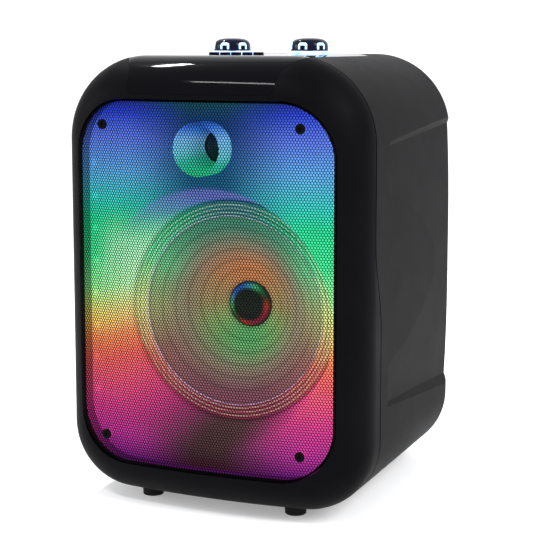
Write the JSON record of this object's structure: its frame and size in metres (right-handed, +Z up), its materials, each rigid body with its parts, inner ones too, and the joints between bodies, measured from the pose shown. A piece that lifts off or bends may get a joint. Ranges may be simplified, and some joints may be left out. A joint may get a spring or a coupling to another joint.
{
  "type": "party speaker",
  "caption": "Portable party speaker: bowed perforated grille over a lit baffle, woofer, horn tweeter, two lit knobs, push buttons, rear sockets.",
  "frame": {"origin": "on the floor under the middle of the cabinet", "axes": "+Z up, +X to the right seen from the front, the front faces -Y"},
  "size_m": [0.294, 0.2875, 0.4235],
  "materials": {
    "circuit_board": "green solder mask",
    "socket_plastic": "black plastic",
    "driver_plastic": "black plastic",
    "battery_wrap": "blue heat-shrink sleeve",
    "cabinet_plastic": "satin charcoal moulded plastic with a fine grain",
    "plain_screws": "zinc-plated steel",
    "cap_gloss": "polished dark plastic",
    "foot_rubber": "black rubber",
    "bezel_plastic": "fine-textured black moulded plastic",
    "grille_metal": "perforated steel sheet, black powder coat",
    "black_screws": "blackened steel",
    "sink_aluminium": "bare extruded aluminium",
    "switch_plastic": "black plastic",
    "baffle_plastic": "pale diffusing plastic, lit by the strips beside it",
    "strip_board": "white light strip",
    "encoder_metal": "bare metal",
    "knob_gloss": "polished dark blue-black plastic",
    "knob_light": "frosted light window",
    "ring_light": "frosted light ring",
    "plate_steel": "zinc-plated steel",
    "button_plastic": "black plastic keys",
    "rear_plate": "fine-textured black plastic plate",
    "spider_cloth": "resin-set corrugated cloth",
    "led_lens": "clear lens over a colour light",
    "gloss_panel": "polished black acrylic",
    "diaphragm_film": "formed plastic film",
    "usb_metal": "bright plated shell",
    "coil_copper": "copper winding on a paper former",
    "basket_metal": "stamped steel, black paint",
    "cone_pulp": "pale coated paper pulp",
    "gasket_foam": "grey foam rubber",
    "magnet_ferrite": "ferrite ceramic",
    "surround_cloth": "doped corrugated cloth"
  },
  "bodies": {
    "enclosure": {"amplifier_board": "circuit_board", "aux_socket": "socket_plastic", "battery_bracket": "driver_plastic", "battery_pack": "battery_wrap", "cabinet_shell": "cabinet_plastic", "carry_grip": "cabinet_plastic", "charging_inlet": "socket_plastic", "control_board": "circuit_board", "control_board_screws": "plain_screws", "foot_front_left": "foot_rubber", "foot_front_right": "foot_rubber", "foot_rear_left": "foot_rubber", "foot_rear_right": "foot_rubber", "foot_screws": "plain_screws", "front_bezel": "bezel_plastic", "front_grille": "grille_metal", "grille_screws": "black_screws", "heat_sink": "sink_aluminium", "key_switches": "switch_plastic", "light_baffle": "baffle_plastic", "light_strip_left": "strip_board", "light_strip_right": "strip_board", "microphone_encoder": "encoder_metal", "microphone_light_ring": "ring_light", "microphone_socket": "socket_plastic", "port_tube": "cabinet_plastic", "power_switch": "switch_plastic", "rear_panel": "rear_plate", "rear_panel_screws": "black_screws", "spider": "spider_cloth", "strip_leds": "led_lens", "top_panel": "gloss_panel", "tweeter_diaphragm": "diaphragm_film", "tweeter_driver": "driver_plastic", "tweeter_horn": "baffle_plastic", "usb_socket": "usb_metal", "volume_encoder": "encoder_metal", "volume_light_ring": "ring_light", "woofer_basket": "basket_metal", "woofer_gasket": "gasket_foam", "woofer_magnet": "magnet_ferrite", "woofer_screws": "plain_screws", "woofer_surround": "surround_cloth", "woofer_top_plate": "plate_steel", "woofer_yoke": "plate_steel"},
    "volume_knob": {"volume_knob": "knob_gloss", "volume_knob_windows": "knob_light", "volume_shaft": "plate_steel"},
    "microphone_knob": {"microphone_knob": "knob_gloss", "microphone_knob_windows": "knob_light", "microphone_shaft": "plate_steel"},
    "cone_assembly": {"woofer_cone": "cone_pulp", "dust_cap": "cap_gloss", "voice_coil": "coil_copper"},
    "power_rocker": {"power_rocker": "switch_plastic"},
    "mode_button": {"mode_button": "button_plastic"},
    "previous_button": {"previous_button": "button_plastic"},
    "play_button": {"play_button": "button_plastic"},
    "next_button": {"next_button": "button_plastic"},
    "record_button": {"record_button": "button_plastic"}
  },
  "joints": [
    {"name": "volume_turn", "type": "hinge", "parent": "enclosure", "child": "volume_knob", "pos_m": [-0.04, 0.018, 0.408], "axis": [0, 0, 1], "range_deg": [-150, 150]},
    {"name": "microphone_turn", "type": "hinge", "parent": "enclosure", "child": "microphone_knob", "pos_m": [0.04, 0.018, 0.408], "axis": [0, 0, 1], "range_deg": [-150, 150]},
    {"name": "mode_button_press", "type": "slide", "parent": "enclosure", "child": "mode_button", "axis": [0, 0, -1], "range_m": [0, 0.0007], "stiffness_N_per_m": 900},
    {"name": "previous_button_press", "type": "slide", "parent": "enclosure", "child": "previous_button", "axis": [0, 0, -1], "range_m": [0, 0.0007], "stiffness_N_per_m": 900},
    {"name": "play_button_press", "type": "slide", "parent": "enclosure", "child": "play_button", "axis": [0, 0, -1], "range_m": [0, 0.0007], "stiffness_N_per_m": 900},
    {"name": "next_button_press", "type": "slide", "parent": "enclosure", "child": "next_button", "axis": [0, 0, -1], "range_m": [0, 0.0007], "stiffness_N_per_m": 900},
    {"name": "record_button_press", "type": "slide", "parent": "enclosure", "child": "record_button", "axis": [0, 0, -1], "range_m": [0, 0.0007], "stiffness_N_per_m": 900},
    {"name": "cone_stroke", "type": "slide", "parent": "enclosure", "child": "cone_assembly", "axis": [0, -1, 0], "range_m": [-0.003, 0.003], "stiffness_N_per_m": 1800, "deforming": ["woofer_surround", "spider"]},
    {"name": "rocker_tilt", "type": "hinge", "parent": "enclosure", "child": "power_rocker", "pos_m": [0.03, 0.1384, 0.112], "axis": [1, 0, 0], "range_deg": [0, 16]}
  ]
}
